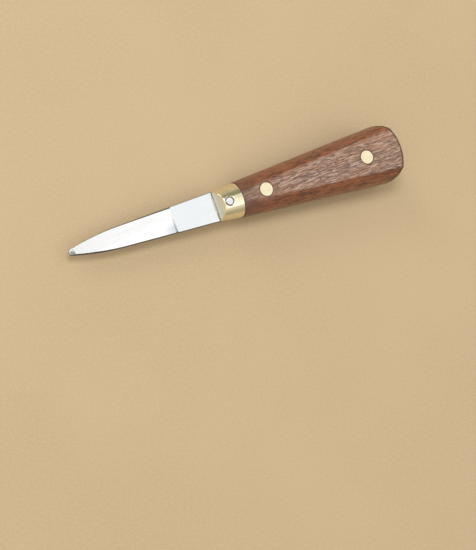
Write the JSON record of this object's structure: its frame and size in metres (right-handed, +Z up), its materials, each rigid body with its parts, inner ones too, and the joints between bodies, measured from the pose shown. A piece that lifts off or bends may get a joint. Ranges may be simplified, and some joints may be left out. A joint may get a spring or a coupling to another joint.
{
  "type": "oyster knife",
  "caption": "Lancet oyster knife: short blunt-tipped steel blade on a hidden tang, tapered brass ferrule with a cross pin, and a swelling hardwood handle with sanded flats and brass rivets.",
  "frame": {"origin": "centre of the footprint, on the surface that the handle's lower flat lies on", "axes": "+X towards the blade's tip, +Y towards the cutting edge, +Z up, square to the lower flat of the handle"},
  "size_m": [0.1638, 0.0268, 0.0208],
  "materials": {
    "blade_steel": "fine ground, near mirror",
    "ferrule_brass": "polished",
    "pin_steel": "polished",
    "hardwood": "oiled satin, open pores",
    "rivet_brass": "sanded flush"
  },
  "bodies": {
    "root": {"blade": "blade_steel", "ferrule": "ferrule_brass", "ferrule_pin": "pin_steel", "handle": "hardwood", "front_rivet_female": "rivet_brass", "front_rivet_male": "rivet_brass", "rear_rivet_female": "rivet_brass", "rear_rivet_male": "rivet_brass"}
  },
  "joints": []
}
